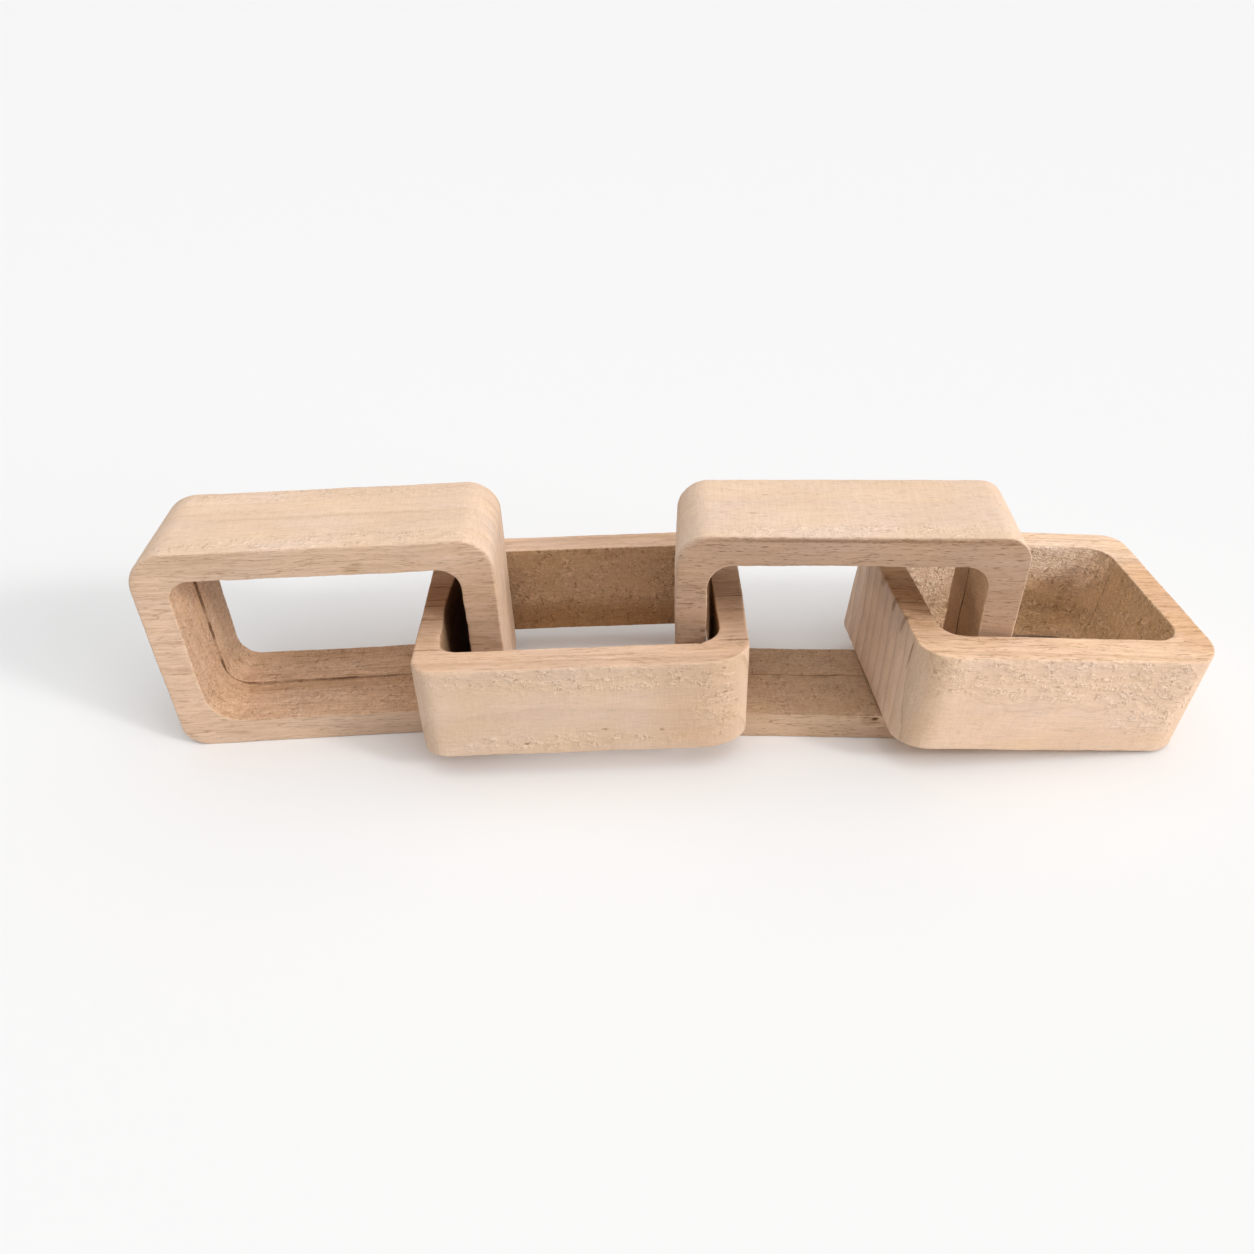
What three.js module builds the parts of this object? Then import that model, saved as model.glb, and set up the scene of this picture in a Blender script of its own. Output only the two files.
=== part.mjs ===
// A carved wooden chain of four links, each hooked through the next. Millimetres, Z up.
// Links one and three stand on their long bottom bars, and links two and four lie flat across them.
import * as THREE from 'three';
import { mergeVertices } from 'three/addons/utils/BufferGeometryUtils.js';

// Driving dimensions, in millimetres
const REST_GAP = 0.3; // left between two links where one lies on the other
const ARRIS = 1.6; // rounding along every long edge of a link
const ARRIS_STEPS = 2;
const CORNER_STEPS = 7;

// A link is a flat rounded frame. Its length and height are those of the frame, and its depth is the
// thickness of the wood that the opening goes through. Corner radii go round from the lower left
// corner: lower left, lower right, upper right, upper left. On a lying link, up means away.
const LEFT_END = {
  length: 159.5,
  height: 108.5,
  depth: 55.5,
  walls: { left: 15.2, right: 15.5, bottom: 14, top: 14.6 },
  outerRadii: [11, 14, 15, 18],
  innerRadii: [12, 9, 11, 11],
};
const LEFT_MIDDLE = {
  length: 151,
  height: 112,
  depth: 49.5,
  walls: { left: 13.6, right: 13.7, bottom: 14.8, top: 13.5 },
  outerRadii: [11, 18, 12, 12],
  innerRadii: [6.5, 12.5, 9, 9],
};
const RIGHT_MIDDLE = {
  length: 150,
  height: 112.5,
  depth: 52.5,
  walls: { left: 14, right: 15, bottom: 14, top: 14.4 },
  outerRadii: [12, 12, 12, 13],
  innerRadii: [5, 9, 11, 12],
};
const RIGHT_END = {
  length: 142,
  height: 111.5,
  depth: 52.5,
  walls: { left: 14.2, right: 13.3, bottom: 16.7, top: 14.3 },
  outerRadii: [12, 19, 9, 17],
  innerRadii: [10, 14, 10.5, 9],
};

// Where each link's lower left front corner is, along and across the chain, and how many degrees the
// link is turned about the vertical.
const LEFT_END_PLACE = { x: 0, y: 34, turn: 2.2 };
const LEFT_MIDDLE_PLACE = { x: 122.2, y: 4.5, turn: 0.7 };
const RIGHT_MIDDLE_PLACE = { x: 238.9, y: 31.2, turn: -3.9 };
const RIGHT_END_PLACE = { x: 338, y: 0, turn: 3.7 };

const WOOD = {
  left_end_link: 0xdcb896,
  left_middle_link: 0xdfbfa0,
  right_middle_link: 0xc9a07c,
  right_end_link: 0xe6c6a6,
};

// Adds a rounded rectangle to a path. Its corners are quarter circles.
function roundedRectangle(path, left, bottom, right, top, radii) {
  const [lowerLeft, lowerRight, upperRight, upperLeft] = radii;
  const quarter = Math.PI / 2;
  path.moveTo(left + lowerLeft, bottom);
  path.lineTo(right - lowerRight, bottom);
  path.absarc(right - lowerRight, bottom + lowerRight, lowerRight, -quarter, 0, false);
  path.lineTo(right, top - upperRight);
  path.absarc(right - upperRight, top - upperRight, upperRight, 0, quarter, false);
  path.lineTo(left + upperLeft, top);
  path.absarc(left + upperLeft, top - upperLeft, upperLeft, quarter, 2 * quarter, false);
  path.lineTo(left, bottom + lowerLeft);
  path.absarc(left + lowerLeft, bottom + lowerLeft, lowerLeft, 2 * quarter, 3 * quarter, false);
  return path;
}

// The solid of one link, with its frame in the XY plane and its depth from 0 up to its full depth.
function linkGeometry({ length, height, depth, walls, outerRadii, innerRadii }) {
  const outline = roundedRectangle(new THREE.Shape(), 0, 0, length, height, outerRadii);
  const opening = roundedRectangle(
    new THREE.Path(),
    walls.left,
    walls.bottom,
    length - walls.right,
    height - walls.top,
    innerRadii,
  );
  outline.holes.push(opening);
  const extruded = new THREE.ExtrudeGeometry(outline, {
    depth: depth - 2 * ARRIS,
    curveSegments: CORNER_STEPS,
    bevelEnabled: true,
    bevelThickness: ARRIS,
    bevelSize: ARRIS,
    bevelOffset: -ARRIS,
    bevelSegments: ARRIS_STEPS,
  });
  extruded.translate(0, 0, ARRIS);
  extruded.deleteAttribute('uv');
  extruded.deleteAttribute('normal');
  const solid = mergeVertices(extruded, 1e-4);
  solid.computeVertexNormals();
  return solid;
}

function linkMesh(name, geometry) {
  const material = new THREE.MeshStandardMaterial({ color: WOOD[name], roughness: 0.8, metalness: 0 });
  const mesh = new THREE.Mesh(geometry, material);
  mesh.name = name;
  return mesh;
}

// A link that stands on its long bar, with its opening facing forwards.
function standingLink(name, size, place) {
  const geometry = linkGeometry(size);
  geometry.translate(0, 0, -size.depth);
  geometry.rotateX(Math.PI / 2);
  const mesh = linkMesh(name, geometry);
  mesh.position.set(place.x, place.y, 0);
  mesh.rotation.z = THREE.MathUtils.degToRad(place.turn);
  return mesh;
}

// A link that lies on its side, with its opening facing up. Slope lowers its right end.
function lyingLink(name, size, place, lift, slope) {
  const mesh = linkMesh(name, linkGeometry(size));
  mesh.position.set(place.x, place.y, lift);
  mesh.rotation.set(0, slope, THREE.MathUtils.degToRad(place.turn), 'ZYX');
  return mesh;
}

// The left middle link lies on the bottom bars of both standing links.
function leftMiddleLink() {
  const { length, walls } = LEFT_MIDDLE;
  const leftSupport = LEFT_END.walls.bottom + REST_GAP;
  const rightSupport = RIGHT_MIDDLE.walls.bottom + REST_GAP;
  const span = length - (walls.left + walls.right) / 2;
  const slope = -Math.asin((rightSupport - leftSupport) / span);
  const lift = leftSupport + (Math.sin(slope) * walls.left) / 2;
  return lyingLink('left_middle_link', LEFT_MIDDLE, LEFT_MIDDLE_PLACE, lift, slope);
}

// The right end link leans from the right middle link's bottom bar down to the table. Its underside
// is flat up to the rounded edge, and touches the table where that flat ends.
function rightEndLink() {
  const { length, walls } = RIGHT_END;
  const support = RIGHT_MIDDLE.walls.bottom + REST_GAP;
  const slope = Math.asin(support / (length - walls.left));
  const lift = (length - ARRIS) * Math.sin(slope);
  return lyingLink('right_end_link', RIGHT_END, RIGHT_END_PLACE, lift, slope);
}

// Moves the chain so that the origin is under the middle of its bounding box, at its lowest point.
function centred(links) {
  const chain = new THREE.Group();
  chain.add(...links);
  chain.updateMatrixWorld(true);
  const box = new THREE.Box3().setFromObject(chain, true);
  const middle = box.getCenter(new THREE.Vector3());
  chain.position.set(-middle.x, -middle.y, -box.min.z);
  const part = new THREE.Group();
  part.name = 'wooden_chain';
  part.add(chain);
  return part;
}

const part = centred([
  standingLink('left_end_link', LEFT_END, LEFT_END_PLACE),
  leftMiddleLink(),
  standingLink('right_middle_link', RIGHT_MIDDLE, RIGHT_MIDDLE_PLACE),
  rightEndLink(),
]);

export default part;
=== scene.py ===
"""A wooden chain of four carved links, in raw pale wood, on a pale floor.

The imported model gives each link's place. Here each link is carved again with the unevenness of
handwork, and gets a wood of its own. Link sizes are in millimetres, and Blender's are in metres.
"""
import math

import bpy
import numpy as np
from mathutils import Matrix, Vector


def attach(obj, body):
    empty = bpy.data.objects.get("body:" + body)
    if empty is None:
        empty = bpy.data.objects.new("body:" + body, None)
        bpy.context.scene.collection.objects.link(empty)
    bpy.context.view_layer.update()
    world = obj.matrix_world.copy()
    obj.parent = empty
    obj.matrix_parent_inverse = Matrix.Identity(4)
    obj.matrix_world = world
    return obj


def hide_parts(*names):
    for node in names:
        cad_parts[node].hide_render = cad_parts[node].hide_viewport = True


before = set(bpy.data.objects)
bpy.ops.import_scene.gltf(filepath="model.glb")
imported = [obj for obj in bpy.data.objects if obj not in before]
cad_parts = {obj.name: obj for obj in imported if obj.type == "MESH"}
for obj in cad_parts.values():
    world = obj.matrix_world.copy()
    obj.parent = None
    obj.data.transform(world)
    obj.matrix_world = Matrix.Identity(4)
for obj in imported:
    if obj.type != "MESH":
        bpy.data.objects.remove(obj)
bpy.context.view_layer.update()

MM = 0.001
REST_GAP = 0.3
ARRIS = 1.6

# Mesh fineness, in millimetres and in steps
LOOP_STEP = 0.95
DEPTH_STEP = 0.95
WALL_STEP = 1.2
CORNER_STEPS = 18
ARRIS_STEPS = 5
ARRIS_ROOM = 3.4
GLUE_GAP = 0.35

# A link's place inside is (along its length, up its height, into its depth), from its lower left
# front corner. On a lying link, up means away and deep means upwards.
# Walls and radii go round from the bottom: walls bottom, right, top, left, and corner radii
# lower left, lower right, upper right, upper left. A pair is a corner's radius along and up.
# Sections are the opening's walls and radii at some depths, where they change with depth.
# Steps raise the inner walls by an amount at some depths, as two boards carved apart are.
# Bows are slow bends of the outer or inner walls: the place and reach along and up, the shift there,
# and the depth and reach in depth. Arris is the rounding of the outer and the inner edges, worn spots
# add to it, ragged spots roughen it, and chips are dents.
LINKS = {
    "left_end_link": {
        "size": (159.5, 108.5, 55.5),
        "walls": (14.0, 15.5, 14.6, 15.2),
        "outer": (11, 14, 15, 18),
        "inner": (12, 9, 11, 11),
        "stands": True,
        "place": (0.0, 34.0),
        "turn": 2.2,
        "seed": 11,
        "glue": 29.5,
        "sections": (
            (0.0, (14.0, 15.5, 14.6, 15.2), (15.5, 9, 11, 11)),
            (29.2, (14.0, 15.5, 14.6, 15.2), (14.5, 9, 11, 11)),
            (29.8, (14.0, 15.5, 14.6, 15.6), (9.5, 9, 11, 10)),
            (55.5, (14.0, 15.5, 14.6, 15.2), (11.5, 9, 11, 11)),
        ),
        "bows": (
            ("outer", (0, 62), (8, 60), (-0.6, 0), (28, 200)),
        ),
        "steps": ((0, 0), (21.5, 0.1), (23, -0.35), (29.2, -0.5), (29.8, 0.35), (42, 0.3), (44, 0), (55, 0)),
        "arris": (1.0, 0.7),
        "worn": (((6, 104, 0), 14, 1.0), ((148, 100, 0), 14, 1.2)),
        "ragged": (((80, 108.5, 0), (75, 6, 4), 0.6), ((90, 94, 0), (60, 5, 4), 0.5)),
        "chips": (),
    },
    "left_middle_link": {
        "size": (151.0, 112.0, 49.5),
        "walls": (14.8, 13.7, 13.5, 13.6),
        "outer": (10.5, (24, 14), 12, 12),
        "inner": (6.5, 12.5, 9, 9),
        "stands": False,
        "place": (122.2, 4.5),
        "turn": 0.7,
        "seed": 23,
        "glue": None,
        "sections": (),
        "bows": (
            ("inner", (13.6, 50), (6, 34), (-3.5, 0), (49.5, 45)),
            ("outer", (151, 10), (14, 34), (-1.6, 0), (25, 200)),
            ("outer", (151, 108), (14, 40), (0.8, 0), (25, 200)),
            ("outer", (0, 4), (12, 20), (-0.5, 0), (10, 40)),
        ),
        "steps": ((0, 0), (49.5, 0)),
        "arris": (1.1, 0.6),
        "worn": (((4, 4, 49.5), 14, 0.8),),
        "ragged": (((13, 45, 49.5), (5, 32, 6), 1.8), ((75, 0, 49.5), (70, 5, 4), 0.5)),
        "chips": (((12.5, 24, 47.5), (2.2, 6, 4), 1.3), ((127.6, 15.4, 49.5), (1.2, 1.4, 1.4), 0.8)),
    },
    "right_middle_link": {
        "size": (150.0, 112.5, 52.5),
        "walls": (14.0, 15.0, 14.4, 14.0),
        "outer": (12, 12, 12, 15),
        "inner": (5, 9, 11, 12),
        "stands": True,
        "place": (238.9, 31.2),
        "turn": -3.9,
        "seed": 37,
        "glue": 30.5,
        "sections": (),
        "bows": (
            ("outer", (150, 105), (10, 30), (0.5, 0), (26, 200)),
        ),
        "steps": ((0, 0), (30.2, 0), (30.8, 0.3), (52.5, 0.2)),
        "arris": (0.9, 0.5),
        "worn": (((3, 103, 0), 13, 2.0),),
        "ragged": (((75, 112.5, 0), (70, 5, 4), 1.6),),
        "chips": (),
    },
    "right_end_link": {
        "size": (142.0, 111.5, 52.5),
        "walls": (16.7, 13.3, 14.3, 14.2),
        "outer": ((16, 12), 19, 9, 17),
        "inner": (10, 14, 10.5, 9),
        "stands": False,
        "place": (338.0, 0.0),
        "turn": 3.7,
        "seed": 53,
        "glue": None,
        "sections": (
            (0.0, (16.7, 13.3, 20.0, 14.2), (10, 14, 16, 9)),
            (3.0, (16.7, 13.3, 19.6, 14.2), (10, 14, 16, 9)),
            (13.0, (16.7, 13.3, 14.8, 14.2), (10, 14, 15, 9)),
            (52.5, (16.7, 13.3, 14.3, 14.2), (10, 14, 10.5, 9)),
        ),
        "bows": (
            ("outer", (142, 98), (14, 36), (0.7, 0), (26, 200)),
            ("outer", (142, 12), (14, 30), (-0.6, 0), (26, 200)),
        ),
        "steps": ((0, 0), (52.5, 0)),
        "arris": (0.9, 0.6),
        "worn": (),
        "ragged": (((0, 45, 52.5), (5, 40, 6), 1.3), ((75, 0, 52.5), (65, 5, 5), 1.2)),
        "chips": (((0, 60, 52.5), (1.2, 1.5, 2.0), 0.5), ((0, 44, 52.5), (1.2, 1.8, 2.4), 0.7),
                  ((0.4, 29, 52.5), (1.2, 1.4, 2.6), 0.6), ((0, 75, 52.5), (1.2, 1.8, 1.6), 0.5)),
    },
}

# How each link's wood looks. Rings is the direction across the growth rings, in the plane across
# the grain (up, deep), and ring_gap is how far apart they are. Boards is the axis that the joint
# between the boards is across, 1 for up and 2 for deep, its place, and the second board's tint.
# Lines, pores, ring_lines, inner_rings, inner_figure and fuzz are the strength of the grain lines, the
# pores, the rings, the rings and figure on carved walls, and the raised fibres. Wave is how far the
# grain sways. Marks darken a crisp spot of a size, and tints colour a soft one on one kind of face.
# Some tints are the wood's own tone, and some are painted shade and painted light: shadows on
# inner walls and bar tops, and lit patches on a back wall.
# Fluffy are the regions of the sanded faces where fibres stand up.
WOODS = {
    "left_end_link": {
        "rings": (0.10, 0.995),
        "ring_gap": 8.5,
        "boards": (2, 29.5, (1.0, 1.0, 1.0)),
        "joint": 0.85,
        "sanded": (0.790, 0.575, 0.420),
        "planed": (0.665, 0.460, 0.320),
        "carved": (0.665, 0.430, 0.275),
        "lines": 1.0,
        "pores": 0.6,
        "ring_lines": 0.8,
        "inner_rings": 0.7,
        "inner_figure": 1.0,
        "fuzz": 0.8,
        "wave": 0.8,
        "marks": (
            ((22, 20, 29.2), (10, 9, 1.1), 0.55),
            ((60, 14, 28.9), (50, 3, 0.6), 0.35),
            ((75, 108, 28.2), (60, 3, 0.5), 0.10),
        ),
        "tints_and_painted_light": (
            ("planed", (152, 50, 0), (14, 50, 12), (0.88, 0.83, 0.79)),
            ("planed", (7, 50, 0), (13, 50, 12), (1.10, 1.09, 1.09)),
            # Painted shade: the back and the top of the inner left wall are darkened, where shadow falls on
            # it
            ("carved", (15, 55, 50), (6, 55, 18), (0.78, 0.78, 0.78)),
            # Painted shade: a darker band along the inner bottom just in front of the joint, for the shade
            # of its low ramp
            ("carved", (70, 14, 25), (75, 4, 4), (0.90, 0.86, 0.80)),
            ("carved", (80, 14, 52), (80, 4, 8), (0.86, 0.82, 0.78)),
        ),
        "fluffy": (((80, 108.5, 6), (80, 8, 7)), ((80, 108.5, 50), (80, 8, 6))),
    },
    "left_middle_link": {
        "rings": (0.90, 0.43),
        "ring_gap": 16.0,
        "boards": (1, 51.0, (1.02, 1.02, 1.02)),
        "joint": 0.9,
        "sanded": (0.725, 0.525, 0.378),
        "planed": (0.715, 0.480, 0.330),
        "carved": (0.590, 0.375, 0.215),
        "lines": 0.8,
        "pores": 0.5,
        "ring_lines": 0.7,
        "inner_rings": 0.1,
        "inner_figure": 0.5,
        "fuzz": 1.1,
        "wave": 0.7,
        "marks": (
            ((47.9, 0, 6.5), (1.4, 2, 0.7), 0.55),
            ((83.8, 0, 13.8), (1.6, 2, 0.8), 0.35),
            ((109.6, 0, 12.5), (1.2, 2, 0.8), 0.35),
            ((138.1, 0, 31.7), (1.8, 3, 0.6), 0.5),
            ((141.0, 0, 22.3), (0.9, 3, 0.8), 0.5),
            ((137.3, 0, 45.3), (1.0, 3, 0.7), 0.4),
            ((144, 16, 49.5), (9, 0.5, 2), 0.5),
            ((6, 16.5, 49.5), (9, 0.4, 2), 0.45),
            ((6, 40, 49.5), (8, 0.5, 2), 0.45),
            ((6, 56, 49.5), (7, 0.5, 2), 0.35),
            ((8, 67, 49.5), (7, 0.5, 2), 0.40),
            ((88, 8.5, 49.5), (28, 0.5, 2), 0.25),
        ),
        "tints_and_painted_light": (
            # Painted shade: the tops of both side bars are darkened, where the other links' bars above shade
            # them
            ("planed", (6, 66, 49.5), (14, 48, 8), (0.70, 0.66, 0.60)),
            ("planed", (145, 66, 49.5), (14, 48, 8), (0.70, 0.66, 0.62)),
            ("sanded", (132, 0, 25), (26, 8, 40), (0.92, 0.87, 0.82)),
            # Painted shade: the low part of the opening's back wall is darkened
            ("carved", (75, 98.5, 3), (90, 5, 15), (0.66, 0.55, 0.42)),
            # Painted shade: the inner left wall is made nearly black, for the deep shadow in the narrow gap
            # beside it
            ("carved", (12, 68, 24), (6, 46, 40), (0.12, 0.08, 0.06)),
        ),
        "fluffy": (((75, 0, 43), (70, 6, 8)), ((60, 0, 7), (60, 6, 5)), ((140, 0, 25), (16, 6, 22))),
    },
    "right_middle_link": {
        "rings": (-0.30, 0.95),
        "ring_gap": 7.0,
        "boards": (2, 30.5, (1.0, 0.99, 0.98)),
        "joint": 0.8,
        "sanded": (0.820, 0.605, 0.448),
        "planed": (0.505, 0.325, 0.218),
        "carved": (0.510, 0.335, 0.210),
        "lines": 0.7,
        "pores": 1.2,
        "ring_lines": 0.3,
        "inner_rings": 0.2,
        "inner_figure": 0.6,
        "fuzz": 0.8,
        "wave": 0.6,
        "marks": (
            ((95.3, 12.4, 0), (1.7, 0.9, 2), 0.8),
            ((93.0, 11.0, 0), (4.5, 3.0, 2), 0.25),
            ((33.9, 112.5, 20.6), (2.2, 2, 0.6), 0.3),
            ((39.9, 112.5, 37.1), (1.4, 2, 0.5), 0.3),
            ((75, 110.6, 0), (66, 0.8, 2), 0.35),
        ),
        "tints_and_painted_light": (
            ("carved", (136, 58, 26), (8, 60, 45), (1.45, 1.5, 1.45)),
            ("planed", (75, 6, 0), (76, 12, 8), (1.25, 1.32, 1.30)),
            ("sanded", (2, 104, 2), (7, 9, 9), (1.06, 1.08, 1.10)),
        ),
        "fluffy": (((80, 112.5, 5), (74, 6, 7)),),
    },
    "right_end_link": {
        "rings": (0.976, -0.215),
        "ring_gap": 9.6,
        "boards": (1, 84.5, (1.06, 1.10, 1.15)),
        "joint": 0.3,
        "sanded": (0.815, 0.580, 0.418),
        "planed": (0.790, 0.530, 0.350),
        "carved": (0.740, 0.500, 0.330),
        "lines": 1.3,
        "pores": 0.9,
        "ring_lines": 1.0,
        "inner_rings": 0.1,
        "inner_figure": 0.4,
        "fuzz": 1.2,
        "wave": 1.5,
        "marks": (
            ((0, 62, 51), (3, 2.5, 3), 0.35),
            ((0, 44, 50), (3, 2.0, 4), 0.4),
            ((0, 30, 49), (3, 1.5, 5), 0.35),
            ((0, 14, 44), (3, 0.8, 8), 0.4),
            ((70, 97, 4), (70, 4, 1.0), 0.25),
        ),
        "tints_and_painted_light": (
            # Painted shadow: the top of the left bar is darkened, where the next link's right bar shades it
            ("planed", (6, 60, 52.5), (14, 46, 8), (0.70, 0.63, 0.53)),
            ("planed", (136, 46, 52.5), (14, 40, 8), (0.88, 0.79, 0.70)),
            ("sanded", (0, 60, 26), (6, 90, 60), (0.95, 1.00, 1.05)),
            ("sanded", (3, 48, 48), (8, 40, 10), (0.88, 0.89, 0.90)),
            # Painted shade: the left front corner is darkened, as a corner turned away from the window light
            ("sanded", (5, 4, 26), (12, 9, 50), (0.85, 0.82, 0.76)),
            # Painted shadow: the lower right of the back wall, in the shadow of the right wall
            ("carved", (100, 97, 6), (64, 8, 30), (0.72, 0.66, 0.52)),
            # Painted shade: the inner right wall is darkened, as a wall turned away from the window light
            ("carved", (129, 50, 25), (8, 56, 60), (0.86, 0.84, 0.72)),
            # Painted light: the upper left and the top of the back wall are lightened, where the window
            # light falls in
            ("carved", (25, 97, 35), (32, 8, 34), (1.35, 1.52, 1.68)),
            ("carved", (88, 97, 46), (44, 8, 12), (1.12, 1.24, 1.36)),
            ("carved", (122.5, 95, 42), (4, 5, 14), (1.20, 1.25, 1.30)),
            ("carved", (128, 90, 46), (3, 3, 9), (1.20, 1.25, 1.30)),
        ),
        "fluffy": (((60, 0, 42), (75, 6, 13)), ((120, 0, 30), (30, 6, 22))),
    },
}

# The camera's place in the frame in which the links' places are given, in millimetres
CAMERA_PLACE = (222.0, -334.6, 330.4)
CAMERA_DOWN = math.radians(35.95)
CAMERA_ROLL = math.radians(-1.68)
PHOTO_SIZE = 1254
FOCAL_PIXELS = 1001.3
CENTRE_PIXEL = (637.5, 628.4)
SENSOR = 36.0

# Sun lamps: azimuth, elevation, width and strength. Angles are in degrees.
SUNS = {
    "window": (-27, 27, 8, 0.86),
    "window_glow": (-30, 22, 34, 0.84),
    "upper_front": (-45, 60, 40, 0.48),
}
SKY_LOW = 0.05
SKY_TOP = 1.36


def lattice(i, j, k, seed):
    """A repeatable number from -1 to 1 for each place on a grid of whole numbers."""
    n = i.astype(np.uint32) * np.uint32(73856093)
    n ^= j.astype(np.uint32) * np.uint32(19349663)
    n ^= k.astype(np.uint32) * np.uint32(83492791)
    n ^= np.uint32(seed * 40503 + 7)
    n ^= n >> np.uint32(15)
    n *= np.uint32(2246822519)
    n ^= n >> np.uint32(13)
    n *= np.uint32(3266489917)
    n ^= n >> np.uint32(16)
    return n.astype(np.float64) / 2147483648.0 - 1.0


def noise(points, size, seed):
    """Smooth noise from -1 to 1. Size is how wide one swell is, in millimetres, for each axis."""
    q = points / np.asarray(size, float)
    cell = np.floor(q).astype(np.int64)
    f = q - cell
    f = f * f * f * (f * (f * 6 - 15) + 10)
    total = np.zeros(points.shape[:-1])
    for corner in range(8):
        step = np.array([corner & 1, corner >> 1 & 1, corner >> 2 & 1])
        weight = np.prod(np.where(step, f, 1 - f), axis=-1)
        i, j, k = np.moveaxis(cell + step, -1, 0)
        total += weight * lattice(i, j, k, seed)
    return total


def smooth_step(low, high, value):
    """0 below low, 1 above high, and a smooth rise between them."""
    t = np.clip((value - low) / (high - low), 0, 1)
    return t * t * (3 - 2 * t)


def spot(points, centre, size):
    """1 at the centre of an ellipsoid, falling smoothly to 0 outside it."""
    d = (points - np.asarray(centre, float)) / np.asarray(size, float)
    return np.exp(-(d ** 2).sum(-1))


def rounded_loop(left, bottom, right, top, radii, counts):
    """Points round a rounded rectangle, anticlockwise from the start of its bottom side."""
    lower_left, lower_right, upper_right, upper_left = (np.broadcast_to(r, 2) for r in radii)
    along, up = counts
    corners = (
        (right - lower_right[0], bottom + lower_right[1], lower_right, -90, along),
        (right - upper_right[0], top - upper_right[1], upper_right, 0, up),
        (left + upper_left[0], top - upper_left[1], upper_left, 90, along),
        (left + lower_left[0], bottom + lower_left[1], lower_left, 180, up),
    )
    start = np.array([left + lower_left[0], bottom])
    points = []
    for x, y, radius, angle, count in corners:
        turns = np.radians(angle + np.linspace(0, 90, CORNER_STEPS + 1))
        arc = np.stack([x + radius[0] * np.cos(turns), y + radius[1] * np.sin(turns)], 1)
        t = np.linspace(0, 1, count, endpoint=False)[:, None]
        points.append(start + (arc[0] - start) * t)
        points.append(arc[:-1])
        start = arc[-1]
    return np.concatenate(points)


def loop_counts(link):
    """How many steps the long and the short sides of a link's loops take."""
    length, height, _ = link["size"]
    return round((length - 26) / LOOP_STEP), round((height - 26) / LOOP_STEP)


def outer_loop(link):
    """The outer edge of a link's flat frame, station by station."""
    length, height, _ = link["size"]
    return rounded_loop(0, 0, length, height, link["outer"], loop_counts(link))


def inner_loop(link, deep):
    """The edge of a link's opening at a depth, station by station."""
    length, height, _ = link["size"]
    sections = link["sections"] or ((0.0, link["walls"], link["inner"]),)
    places = [section[0] for section in sections]
    loops = []
    for _, (bottom, right, top, left), radii in sections:
        loops.append(rounded_loop(left, bottom, length - right, height - top, radii, loop_counts(link)))
    if len(loops) == 1:
        return loops[0]
    share = np.interp(deep, places, np.arange(len(places)))
    first = min(int(share), len(loops) - 2)
    return loops[first] + (loops[first + 1] - loops[first]) * (share - first)


def bowed(link, wall, loop, deep):
    """A loop of the outer or inner wall with the slow bends that it has at a depth."""
    for which, centre, reach, shift, (level, fade) in link["bows"]:
        if which == wall:
            near = spot(loop, centre, reach) * math.exp(-((deep - level) / fade) ** 2)
            loop = loop + near[:, None] * np.array(shift, float)
    return loop


def arris_radii(link, outer, inner):
    """The rounding of the four long edges at each station. It wanders, as hand sanding does."""
    depth = link["size"][2]
    radii = {}
    for index, edge in enumerate(("outer_front", "outer_back", "inner_back", "inner_front")):
        loop = outer if edge.startswith("outer") else inner
        w = 0.0 if edge.endswith("front") else depth
        place = np.column_stack([loop, np.full(len(loop), w)])
        wander = noise(place, (18, 18, 18), link["seed"] + index)
        wander += 0.5 * noise(place, (6, 6, 6), link["seed"] + 10 + index)
        radius = link["arris"][edge.startswith("inner")] * (1 + 0.28 * wander)
        if edge.startswith("outer"):
            for centre, reach, more in link["worn"]:
                radius += more * spot(place, centre, (reach, reach, reach))
        radii[edge] = np.clip(radius, 0.5, ARRIS_ROOM - 0.4)
    return radii


def depth_lines(link):
    """The depths of the mesh lines along a link's walls, with two close together at the joint."""
    depth, glue = link["size"][2], link["glue"]
    low, high = ARRIS_ROOM, depth - ARRIS_ROOM
    breaks = [(low, high)] if glue is None else [(low, glue - GLUE_GAP), (glue + GLUE_GAP, high)]
    return np.concatenate([np.linspace(a, b, round((b - a) / DEPTH_STEP) + 1) for a, b in breaks])


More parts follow.
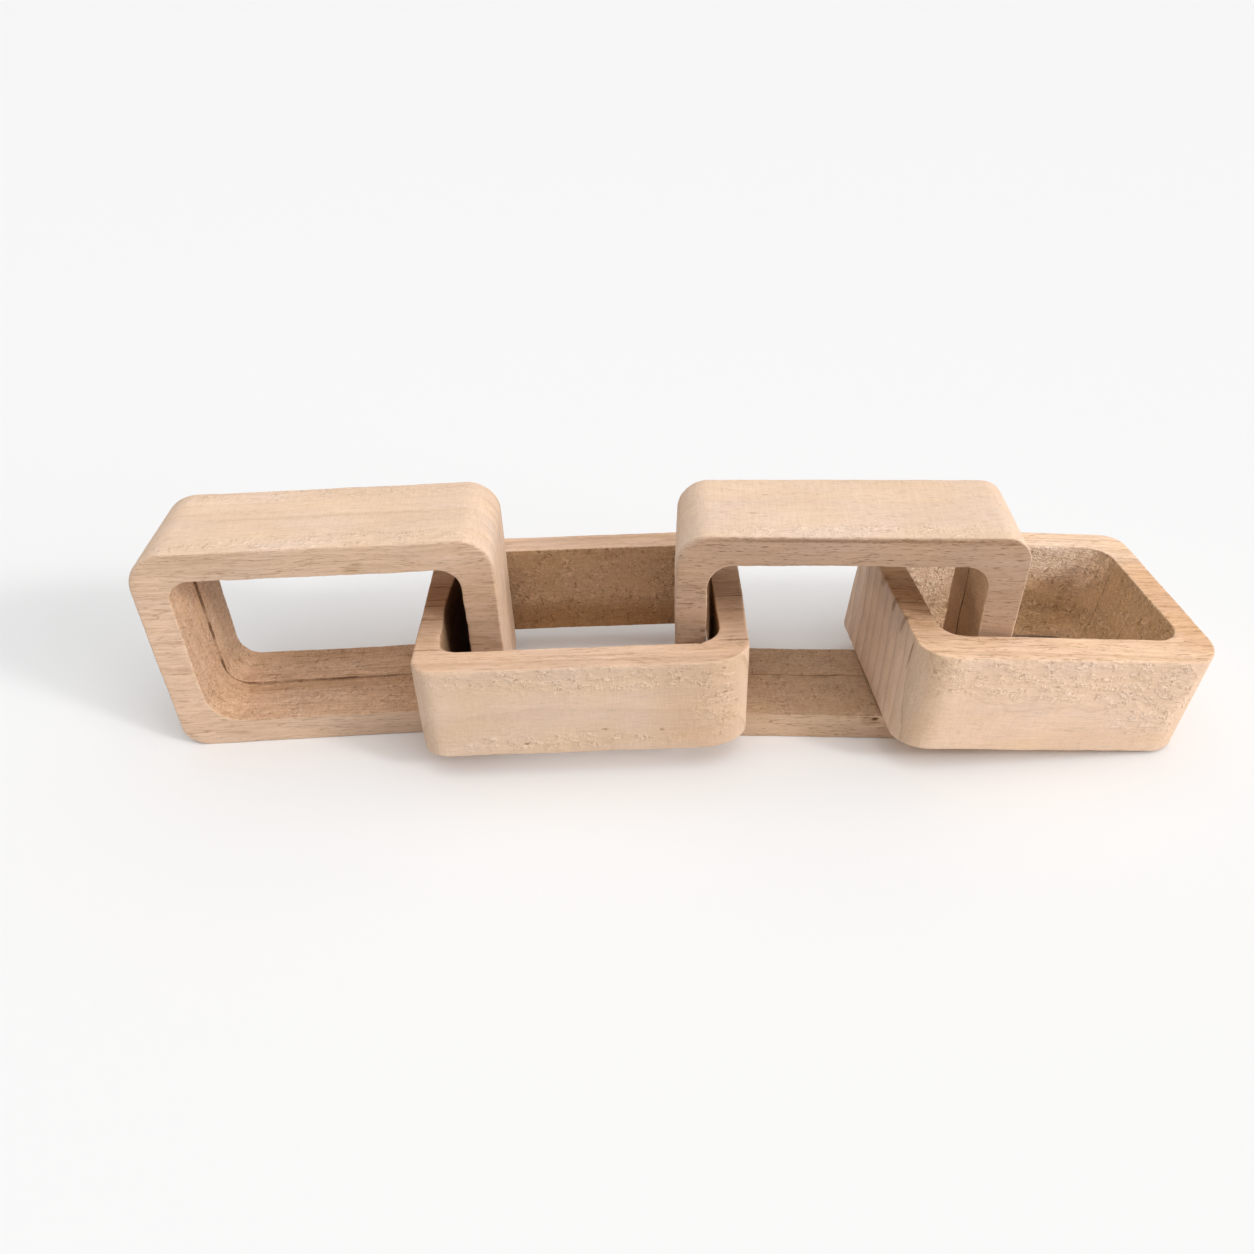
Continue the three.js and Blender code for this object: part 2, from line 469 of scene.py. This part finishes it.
def cross_section(link):
    """Each row of the surface round a link's section, with its masks.

    A row is its share of the wall's thickness out from the opening, an amount more than that, its
    depth, and its masks. They go round: outer face, back edge, back face, inner face, front face.
    """
    depth = link["size"][2]
    e = arris_radii(link, outer_loop(link), inner_loop(link, 0))
    lines = depth_lines(link)
    across = np.linspace(0, 1, round(min(link["walls"]) / WALL_STEP) + 1)
    rows = []

    def arc(share, radius, sign, deep, turn, mask):
        """Rows round one edge. Sign is which way is into the wood, along the share and the depth."""
        for step in range(1, ARRIS_STEPS):
            t = step / ARRIS_STEPS
            a = math.pi / 2 * (t if turn > 0 else 1 - t)
            more = sign[0] * radius * (1 - math.cos(a))
            deeper = deep + sign[1] * radius * (1 - math.sin(a))
            rows.append((share, more, deeper, mask(t) + (math.sin(math.pi * t),)))

    rows.append((1, 0, e["outer_front"], (0, 0, 0.3)))
    rows.extend((1, 0, line, (0, 0, 0)) for line in lines)
    rows.append((1, 0, depth - e["outer_back"], (0, 0, 0.3)))
    arc(1, e["outer_back"], (-1, -1), depth, 1, lambda t: (t, 0))
    for f in across:
        more = -e["outer_back"] * (1 - f) + e["inner_back"] * f
        rows.append((1 - f, more, depth, (1, 0, 0.3 * (f in (0, 1)))))
    arc(0, e["inner_back"], (1, -1), depth, -1, lambda t: (1 - t, t))
    rows.append((0, 0, depth - e["inner_back"], (0, 1, 0.3)))
    rows.extend((0, 0, line, (0, 1, 0)) for line in lines[::-1])
    rows.append((0, 0, e["inner_front"], (0, 1, 0.3)))
    arc(0, e["inner_front"], (1, 1), 0, 1, lambda t: (t, 1 - t))
    for f in across:
        more = e["inner_front"] * (1 - f) - e["outer_front"] * f
        rows.append((f, more, 0, (1, 0, 0.3 * (f in (0, 1)))))
    arc(1, e["outer_front"], (-1, 1), 0, -1, lambda t: (1 - t, 0))
    return rows


def surface_normals(points):
    """The outward direction at each point of the closed grid of points."""
    along = np.roll(points, -1, 0) - np.roll(points, 1, 0)
    around = np.roll(points, -1, 1) - np.roll(points, 1, 1)
    normals = np.cross(along, around)
    return normals / np.linalg.norm(normals, axis=-1, keepdims=True)


def handwork(points, link, planed, carved, edge):
    """How far the surface stands out of its plain form at each point, in millimetres."""
    seed = link["seed"] * 100
    sanded = (1 - planed) * (1 - carved)
    out = 0.12 * noise(points, (60, 40, 40), seed + 1)
    out += 0.05 * sanded * noise(points, (14, 9, 9), seed + 2)
    out += carved * 0.28 * noise(points, (17, 13, 13), seed + 3)
    out += carved * 0.13 * noise(points, (5.5, 4.5, 4.5), seed + 4)
    out += carved * 0.10 * noise(points, (2.3, 2.1, 2.1), seed + 5)
    deep = points[..., 2]
    out += carved * np.interp(deep, *zip(*link["steps"]))
    ragged = np.full(points.shape[:-1], 0.35)
    for centre, size, more in link["ragged"]:
        ragged += more * spot(points, centre, size)
    wear = 0.07 * noise(points, (2.2, 2.0, 2.0), seed + 6)
    wear -= 0.35 * smooth_step(0.25, 0.8, noise(points, (4.0, 2.6, 2.6), seed + 7))
    out += edge * ragged * wear
    for centre, size, dent in link["chips"]:
        shape = spot(points, centre, size)
        out -= dent * shape * (0.75 + 0.5 * noise(points, (2.2, 2.2, 2.2), seed + 8))
    return out


def build_link(link):
    """One link as a closed grid of points in its own frame, in millimetres, and its masks."""
    outer = outer_loop(link)
    rows = cross_section(link)
    shape = (len(outer), len(rows))
    points = np.empty((*shape, 3))
    masks = np.empty((*shape, 3))
    for j, (share, more, deep, mask) in enumerate(rows):
        deep = np.broadcast_to(deep, len(outer))
        inner = bowed(link, "inner", inner_loop(link, deep.mean()), deep.mean())
        wall = bowed(link, "outer", outer, deep.mean()) - inner
        thick = np.linalg.norm(wall, axis=1, keepdims=True)
        more = np.broadcast_to(more, len(outer))[:, None]
        points[:, j, :2] = inner + wall * share + wall / thick * more
        points[:, j, 2] = deep
        masks[:, j] = mask
    planed, carved, edge = np.moveaxis(masks, -1, 0)
    normals = surface_normals(points)
    end_grain = np.abs(normals[..., 0])
    points = points + normals * handwork(points, link, planed, carved, edge)[:, :, None]
    return points, {"planed": planed, "carved": carved, "edge": edge, "end_grain": end_grain}


def turned(degrees, slope):
    """The rotation of a link: sloped down towards its right end, then turned about the vertical."""
    return Matrix.Rotation(math.radians(degrees), 3, "Z") @ Matrix.Rotation(slope, 3, "Y")


def link_pose(name):
    """The link's turn as a matrix, and the place of its lower left front corner, in millimetres."""
    link = LINKS[name]
    length = link["size"][0]
    bottoms = {n: LINKS[n]["walls"][0] for n in LINKS}
    left_wall, right_wall = link["walls"][3], link["walls"][1]
    lift, slope = 0.0, 0.0
    if name == "left_middle_link":
        left_support = bottoms["left_end_link"] + REST_GAP
        right_support = bottoms["right_middle_link"] + REST_GAP
        span = length - (left_wall + right_wall) / 2
        slope = -math.asin((right_support - left_support) / span)
        lift = left_support + math.sin(slope) * left_wall / 2
    if name == "right_end_link":
        support = bottoms["right_middle_link"] + REST_GAP
        slope = math.asin(support / (length - left_wall))
        lift = (length - ARRIS) * math.sin(slope)
    return turned(link["turn"], slope), np.array([*link["place"], lift])


def own_frame(points, name):
    """Points as length, height and depth turned to the link's own X, Y and Z."""
    return points[..., [0, 2, 1]] if LINKS[name]["stands"] else points


def chain_middle():
    """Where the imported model's origin is in the chain's frame, in millimetres."""
    placed = []
    for name, link in LINKS.items():
        outer = outer_loop(link)
        turn, corner = link_pose(name)
        for depth in (ARRIS, link["size"][2] - ARRIS):
            rim = np.column_stack([outer, np.full(len(outer), depth)])
            placed.append(own_frame(rim, name) @ np.array(turn).T + corner)
    placed = np.concatenate(placed)
    middle = (placed.min(0) + placed.max(0)) / 2
    return np.array([middle[0], middle[1], 0.0])


def link_object(name, points, masks, origin):
    """The Blender object of one link, placed by its own turn, with its masks as attributes."""
    stations, around = points.shape[:2]
    index = np.arange(stations * around).reshape(stations, around)
    ahead = np.roll(index, -1, 0)
    quads = np.stack([index, ahead, np.roll(ahead, -1, 1), np.roll(index, -1, 1)], -1).reshape(-1, 4)
    if LINKS[name]["stands"]:
        quads = quads[:, ::-1]
    mesh = bpy.data.meshes.new(name + "_wood")
    mesh.from_pydata((own_frame(points, name) * MM).reshape(-1, 3).tolist(), [], quads.tolist())
    for key, mask in masks.items():
        layer = mesh.attributes.new(key, "FLOAT", "POINT")
        layer.data.foreach_set("value", mask.reshape(-1).astype(np.float32))
    mesh.shade_smooth()
    piece = bpy.data.objects.new(name + "_wood", mesh)
    turn, corner = link_pose(name)
    piece.matrix_world = Matrix.Translation(Vector((corner - origin) * MM)) @ turn.to_4x4()
    bpy.context.collection.objects.link(piece)
    return piece


class Nodes:
    """Adds nodes to a material and joins them, so that a material reads as a list of steps."""

    def __init__(self, tree):
        self.tree = tree
        self.tree.nodes.clear()

    def add(self, kind, settings=None, **inputs):
        node = self.tree.nodes.new(kind)
        for key, value in (settings or {}).items():
            setattr(node, key, value)
        for key, value in inputs.items():
            self.feed(node.inputs[key.replace("_", " ")], value)
        return node

    def feed(self, socket, value):
        if isinstance(value, bpy.types.NodeSocket):
            self.tree.links.new(value, socket)
        else:
            socket.default_value = value

    def attribute(self, name):
        return self.add("ShaderNodeAttribute", {"attribute_name": name}).outputs["Fac"]

    def math(self, operation, *values, clamp=False):
        node = self.add("ShaderNodeMath", {"operation": operation, "use_clamp": clamp})
        for socket, value in zip(node.inputs, values):
            self.feed(socket, value)
        return node.outputs[0]

    def vector(self, operation, *values):
        node = self.add("ShaderNodeVectorMath", {"operation": operation})
        for socket, value in zip(node.inputs, values):
            self.feed(socket, value)
        return node.outputs["Value" if operation in ("DOT_PRODUCT", "LENGTH") else "Vector"]

    def joined(self, x, y, z):
        return self.add("ShaderNodeCombineXYZ", X=x, Y=y, Z=z).outputs[0]

    def noise(self, place, size, detail=2.0, rough=0.5, distortion=0.0, output="Fac"):
        """Noise whose swells measure size, in millimetres, along each axis."""
        scaled = self.vector("DIVIDE", place, size)
        node = self.add(
            "ShaderNodeTexNoise", Vector=scaled, Scale=1.0, Detail=detail, Roughness=rough,
            Distortion=distortion,
        )
        return node.outputs[output]

    def ramp(self, value, low, high):
        """0 where value is at low, 1 where it is at high, and smooth between."""
        node = self.add("ShaderNodeMapRange", {"interpolation_type": "SMOOTHSTEP"}, Value=value)
        node.inputs["From Min"].default_value = low
        node.inputs["From Max"].default_value = high
        return node.outputs["Result"]

    def contour(self, value, width):
        """1 along the lines where a noise crosses its middle, 0 away from them."""
        away = self.math("ABSOLUTE", self.math("SUBTRACT", value, 0.5))
        return self.ramp(away, width, 0.0)

    def spot(self, place, centre, size):
        """1 inside an ellipsoid, falling to 0 over its rim."""
        away = self.vector("DIVIDE", self.vector("SUBTRACT", place, centre), size)
        return self.ramp(self.vector("LENGTH", away), 1.35, 0.55)

    def soft_spot(self, place, centre, size):
        """1 near the middle of an ellipsoid, falling slowly to 0 well outside it."""
        away = self.vector("DIVIDE", self.vector("SUBTRACT", place, centre), size)
        return self.ramp(self.vector("LENGTH", away), 1.4, 0.4)

    def sum(self, values):
        total = 0.0
        for value in values:
            total = self.math("ADD", total, value)
        return total

    def mix(self, factor, first, second):
        node = self.add("ShaderNodeMix", {"data_type": "RGBA"})
        self.feed(node.inputs[0], factor)
        self.feed(node.inputs[6], first)
        self.feed(node.inputs[7], second)
        return node.outputs[2]


def colour(rgb):
    return (*rgb, 1.0)


def wood_material(name, wood):
    """Raw pale wood. Grain runs along a link's length, and rings lie across its height and depth."""
    material = bpy.data.materials.new(name + "_wood")
    material.use_nodes = True
    n = Nodes(material.node_tree)
    own = n.add("ShaderNodeTexCoord").outputs["Object"]
    own = n.add("ShaderNodeSeparateXYZ", Vector=n.vector("DIVIDE", own, (MM, MM, MM)))
    order = (0, 2, 1) if LINKS[name]["stands"] else (0, 1, 2)
    along, up, deep = (own.outputs[axis] for axis in order)
    place = n.joined(along, up, deep)
    planed = n.attribute("planed")
    carved = n.attribute("carved")
    end_grain = n.ramp(n.attribute("end_grain"), 0.5, 0.9)
    plain = n.math("SUBTRACT", 1.0, n.math("MAXIMUM", planed, carved))

    # Two boards, each with a grain of its own
    axis, joint_place, second_tint = wood["boards"]
    from_joint = n.math("SUBTRACT", (along, up, deep)[axis], joint_place)
    second = n.math("GREATER_THAN", from_joint, 0.0)
    shift = n.joined(*(n.math("MULTIPLY", second, by) for by in (83.0, 31.0, 57.0)))
    board = n.vector("ADD", place, shift)
    wander = n.noise(board, (95.0, 40.0, 40.0), detail=1.0, output="Color")
    wander = n.vector("MULTIPLY", n.vector("SUBTRACT", wander, (0.5, 0.5, 0.5)), (0.0, 8.0, 8.0))
    ripple = n.noise(board, (13.0, 9.0, 9.0), detail=1.0, output="Color")
    sway = 1.6 * wood["wave"]
    ripple = n.vector("MULTIPLY", n.vector("SUBTRACT", ripple, (0.5, 0.5, 0.5)), (0.0, sway, sway))
    grain = n.vector("ADD", n.vector("ADD", board, wander), ripple)

    # Growth rings: a slow darkening across each ring, and a thin line at its end
    across = n.vector("DOT_PRODUCT", grain, (0.0, *wood["rings"]))
    uneven = n.math("MULTIPLY", n.noise(n.joined(0.0, across, 0.0), (9.0, 9.0, 9.0), detail=0.0), 9.0)
    phase = n.math("FRACT", n.math("DIVIDE", n.math("ADD", across, uneven), wood["ring_gap"]))
    late = n.math("MULTIPLY", n.ramp(phase, 0.25, 0.95), n.ramp(phase, 1.0, 0.96))
    ring_line = n.math("MULTIPLY", n.ramp(phase, 0.88, 0.95), n.ramp(phase, 1.0, 0.96))
    dashes = n.ramp(n.noise(place, (2.6, 2.6, 2.6), detail=1.0), 0.40, 0.58)
    dashed = n.math("SUBTRACT", 1.0, n.math("MULTIPLY", carved, n.math("SUBTRACT", 1.0, dashes)))
    ring_line = n.math("MULTIPLY", ring_line, dashed)

    # Fibres, thin dark grain lines and short pores, all drawn out along the length
    streak = n.noise(grain, (26.0, 1.3, 1.3), detail=3.0, rough=0.6)
    fibre = n.noise(grain, (8.0, 0.5, 0.5), detail=2.0, rough=0.6)
    line_mask = n.ramp(n.noise(board, (24.0, 8.0, 8.0), detail=1.0), 0.36, 0.60)
    lines = n.contour(n.noise(grain, (40.0, 2.4, 2.4), detail=1.0, rough=0.4), 0.028)
    lines = n.math("MULTIPLY", lines, line_mask)
    checks = n.ramp(n.noise(grain, (15.0, 0.75, 0.75), detail=1.0, rough=0.5), 0.36, 0.27)
    crowd = n.math("MULTIPLY", n.noise(grain, (30.0, 5.0, 5.0), detail=1.0), 0.22)
    vessel = n.noise(grain, (4.5, 0.55, 0.55), detail=1.0, rough=0.5)
    pores = n.ramp(n.math("ADD", vessel, crowd), 0.74, 0.82)

    # Scratches of sanding, across the grain
    scratch = n.noise(place, (0.55, 3.0, 9.0), detail=2.0, rough=0.6)

    # Raised fibres: short curled ridges, all over carved walls and in patches on sanded faces
    curl_place = n.vector("MULTIPLY", place, (0.85, 1.0, 1.0))
    curls = n.contour(n.noise(curl_place, (3.0, 2.5, 2.5), detail=1.5, distortion=1.2), 0.10)
    tufts = n.noise(place, (1.5, 1.2, 1.2), detail=3.0, rough=0.6)
    pits = n.ramp(n.noise(place, (1.9, 1.5, 2.8), detail=1.0, distortion=0.5), 0.60, 0.70)
    fluffy = n.sum([n.spot(place, centre, size) for centre, size in wood["fluffy"]])
    patches = n.ramp(n.noise(place, (7.0, 4.0, 4.0), detail=1.0), 0.40, 0.58)
    fluffy = n.math("MULTIPLY", fluffy, n.math("MULTIPLY", patches, plain), clamp=True)
    fuzz_patches = n.ramp(n.noise(place, (16.0, 12.0, 12.0), detail=1.0), 0.30, 0.60)
    fuzzy = n.math("MULTIPLY", carved, n.math("ADD", 0.40, n.math("MULTIPLY", fuzz_patches, 0.60)))
    fuzzy = n.math("MULTIPLY", n.math("ADD", fuzzy, n.math("MULTIPLY", fluffy, 0.75)), wood["fuzz"])

    # Colour
    base = n.mix(planed, colour(wood["sanded"]), colour(wood["planed"]))
    base = n.mix(carved, base, colour(wood["carved"]))
    second_colour = n.vector("MULTIPLY", base, second_tint)
    base = n.mix(n.math("MULTIPLY", second, n.math("SUBTRACT", 1.0, carved)), base, second_colour)
    faces = {"planed": planed, "carved": carved, "sanded": plain}
    # Soft tints: some give the wood's own tone, and some are painted shade and painted light on a link's
    # faces
    for face, centre, size, tint_and_painted_light in wood["tints_and_painted_light"]:
        where = n.math("MULTIPLY", n.soft_spot(place, centre, size), faces[face])
        base = n.mix(where, base, n.vector("MULTIPLY", base, tint_and_painted_light))
    figure = n.math("ADD", 0.25, n.math("MULTIPLY", planed, 0.75))
    figure = n.math("ADD", figure, n.math("MULTIPLY", carved, wood["inner_figure"] - 0.25))
    rings = n.math("ADD", 0.25, n.math("MULTIPLY", planed, 0.50))
    rings = n.math("ADD", rings, n.math("MULTIPLY", n.math("MULTIPLY", end_grain, plain), 0.75))
    rings = n.math("ADD", rings, n.math("MULTIPLY", carved, wood["inner_rings"] - 0.25))

    def darker(amount, middle, strength, where):
        """1 less strength times how far a pattern is over its middle, where it shows."""
        over = n.math("MULTIPLY", n.math("SUBTRACT", amount, middle), strength)
        return n.math("SUBTRACT", 1.0, n.math("MULTIPLY", over, where))

    blotch = n.noise(board, (50.0, 18.0, 18.0), detail=4.0)
    shade = darker(late, 0.3, 0.12 * wood["ring_lines"], rings)
    for pattern, middle, strength, where in (
        (ring_line, 0.05, 0.20 * wood["ring_lines"], rings),
        (streak, 0.5, 0.60 * wood["lines"], figure),
        (fibre, 0.5, 0.30, n.math("ADD", 0.55, n.math("MULTIPLY", figure, 0.45))),
        (lines, 0.06, 0.30 * wood["lines"], figure),
        (checks, 0.06, 0.28 * wood["lines"], figure),
        (pores, 0.06, 0.40 * wood["pores"], figure),
        (blotch, 0.5, 0.26, 1.0),
        (scratch, 0.5, 0.26, n.math("SUBTRACT", 1.0, n.math("MULTIPLY", planed, 0.7))),
        (curls, 0.3, -0.26, fuzzy),
        (pits, 0.15, 0.34, fuzzy),
        (tufts, 0.5, 0.50, n.math("ADD", fuzzy, 0.22)),
    ):
        shade = n.math("MULTIPLY", shade, darker(pattern, middle, strength, where))
    rough_place = n.noise(place, (1.4, 1.4, 1.4), detail=1.0, output="Color")
    rough_place = n.vector("MULTIPLY", n.vector("SUBTRACT", rough_place, (0.5, 0.5, 0.5)), (1.6, 1.2, 1.2))
    marked = n.vector("ADD", place, rough_place)
    for centre, size, strength in wood["marks"]:
        shade = n.math("MULTIPLY", shade, darker(n.spot(marked, centre, size), 0.0, strength, 1.0))
    tone = n.joined(n.math("POWER", shade, 0.82), shade, n.math("POWER", shade, 1.22))
    hue = n.noise(board, (38.0, 15.0, 15.0), detail=2.0)
    hue = n.math("SUBTRACT", hue, 0.5)
    hue = n.joined(
        n.math("ADD", 1.0, n.math("MULTIPLY", hue, 0.06)), 1.0,
        n.math("SUBTRACT", 1.0, n.math("MULTIPLY", hue, 0.22)),
    )
    albedo = n.vector("MULTIPLY", n.vector("MULTIPLY", base, tone), hue)

    # The glued joint, a thin dark line that comes and goes
    joint = n.ramp(n.math("ABSOLUTE", from_joint), 0.45, 0.15)
    broken = n.ramp(n.noise(place, (11.0, 11.0, 11.0), detail=1.0), 0.38, 0.58)
    joint = n.math("MULTIPLY", joint, n.math("ADD", 0.45, n.math("MULTIPLY", broken, 0.55)))
    sides = n.math("ADD", 0.12, n.math("MULTIPLY", n.math("MAXIMUM", planed, carved), 0.88))
    joint = n.math("MULTIPLY", n.math("MULTIPLY", joint, sides), wood["joint"])
    albedo = n.mix(joint, albedo, colour((0.15, 0.075, 0.040)))

    # Relief, in millimetres
    height = n.math("MULTIPLY", fibre, 0.05)
    height = n.math("ADD", height, n.math("MULTIPLY", streak, 0.05))
    height = n.math("ADD", height, n.math("MULTIPLY", scratch, 0.04))
    open_grain = n.math("ADD", n.math("MULTIPLY", lines, 0.06), n.math("MULTIPLY", checks, 0.05))
    height = n.math("SUBTRACT", height, n.math("MULTIPLY", open_grain, figure))
    height = n.math("SUBTRACT", height, n.math("MULTIPLY", pores, 0.07))
    ridges = n.math("SUBTRACT", n.math("MULTIPLY", curls, 0.24), n.math("MULTIPLY", pits, 0.18))
    height = n.math("ADD", height, n.math("MULTIPLY", ridges, fuzzy))
    tuft_height = n.math("ADD", n.math("MULTIPLY", fuzzy, 0.34), 0.08)
    height = n.math("ADD", height, n.math("MULTIPLY", tufts, tuft_height))
    height = n.math("SUBTRACT", height, n.math("MULTIPLY", joint, 0.15))
    bump = n.add("ShaderNodeBump", Strength=1.0, Distance=MM, Height=height)

    gloss = n.math("ADD", 0.72, n.math("MULTIPLY", fibre, 0.16))
    shader = n.add("ShaderNodeBsdfPrincipled", Base_Color=albedo, Roughness=gloss, Normal=bump.outputs[0])
    shader.inputs["Specular IOR Level"].default_value = 0.25
    output = n.add("ShaderNodeOutputMaterial")
    n.feed(output.inputs["Surface"], shader.outputs[0])
    return material


def floor_object():
    """A wide plain floor under the chain."""
    bpy.ops.mesh.primitive_plane_add(size=40, location=(0, 0, 0))
    floor = bpy.context.active_object
    floor.name = "floor"
    material = bpy.data.materials.new("floor_pale")
    material.use_nodes = True
    n = Nodes(material.node_tree)
    shader = n.add("ShaderNodeBsdfPrincipled", Base_Color=colour((0.87, 0.87, 0.87)), Roughness=0.9)
    shader.inputs["Specular IOR Level"].default_value = 0.1
    output = n.add("ShaderNodeOutputMaterial")
    n.feed(output.inputs["Surface"], shader.outputs[0])
    floor.data.materials.append(material)
    return floor


def lights():
    """A wide window to the right, light from above in front, and a sky that is brightest above."""
    for name, (azimuth, elevation, width, strength) in SUNS.items():
        lamp = bpy.data.lights.new(name, "SUN")
        lamp.energy = strength
        lamp.angle = math.radians(width)
        turn, rise = math.radians(azimuth), math.radians(elevation)
        towards = Vector((math.cos(rise) * math.cos(turn), math.cos(rise) * math.sin(turn), math.sin(rise)))
        holder = bpy.data.objects.new(name, lamp)
        holder.rotation_euler = towards.to_track_quat("Z", "Y").to_euler()
        bpy.context.collection.objects.link(holder)
    world = bpy.data.worlds.new("studio")
    world.use_nodes = True
    n = Nodes(world.node_tree)
    direction = n.add("ShaderNodeTexCoord").outputs["Generated"]
    height = n.add("ShaderNodeSeparateXYZ", Vector=direction).outputs[2]
    rise = n.math("POWER", n.math("MAXIMUM", height, 0.0), 2.0)
    strength = n.math("ADD", SKY_LOW, n.math("MULTIPLY", rise, SKY_TOP))
    background = n.add("ShaderNodeBackground", Color=colour((1.0, 1.0, 1.0)), Strength=strength)
    output = n.add("ShaderNodeOutputWorld")
    n.feed(output.inputs["Surface"], background.outputs[0])
    bpy.context.scene.world = world


def photo_camera(origin):
    """The camera that the photo was taken with, as fitted to the links' outlines."""
    data = bpy.data.cameras.new("photo")
    data.sensor_width = SENSOR
    data.lens = FOCAL_PIXELS / PHOTO_SIZE * SENSOR
    data.shift_x = (PHOTO_SIZE / 2 - CENTRE_PIXEL[0]) / PHOTO_SIZE
    data.shift_y = (CENTRE_PIXEL[1] - PHOTO_SIZE / 2) / PHOTO_SIZE
    data.clip_start = 0.01
    data.clip_end = 100
    camera = bpy.data.objects.new("photo", data)
    turn = Matrix.Rotation(math.pi / 2 - CAMERA_DOWN, 4, "X") @ Matrix.Rotation(CAMERA_ROLL, 4, "Z")
    place = Vector((np.array(CAMERA_PLACE) - origin) * MM)
    camera.matrix_world = Matrix.Translation(place) @ turn
    bpy.context.collection.objects.link(camera)
    bpy.context.scene.camera = camera


origin = chain_middle()
for name, link in LINKS.items():
    points, masks = build_link(link)
    piece = link_object(name, points, masks, origin)
    piece.data.materials.append(wood_material(name, WOODS[name]))
    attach(piece, "root")
    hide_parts(name)
floor_object()
lights()
photo_camera(origin)
bpy.context.scene.view_settings.view_transform = "Standard"
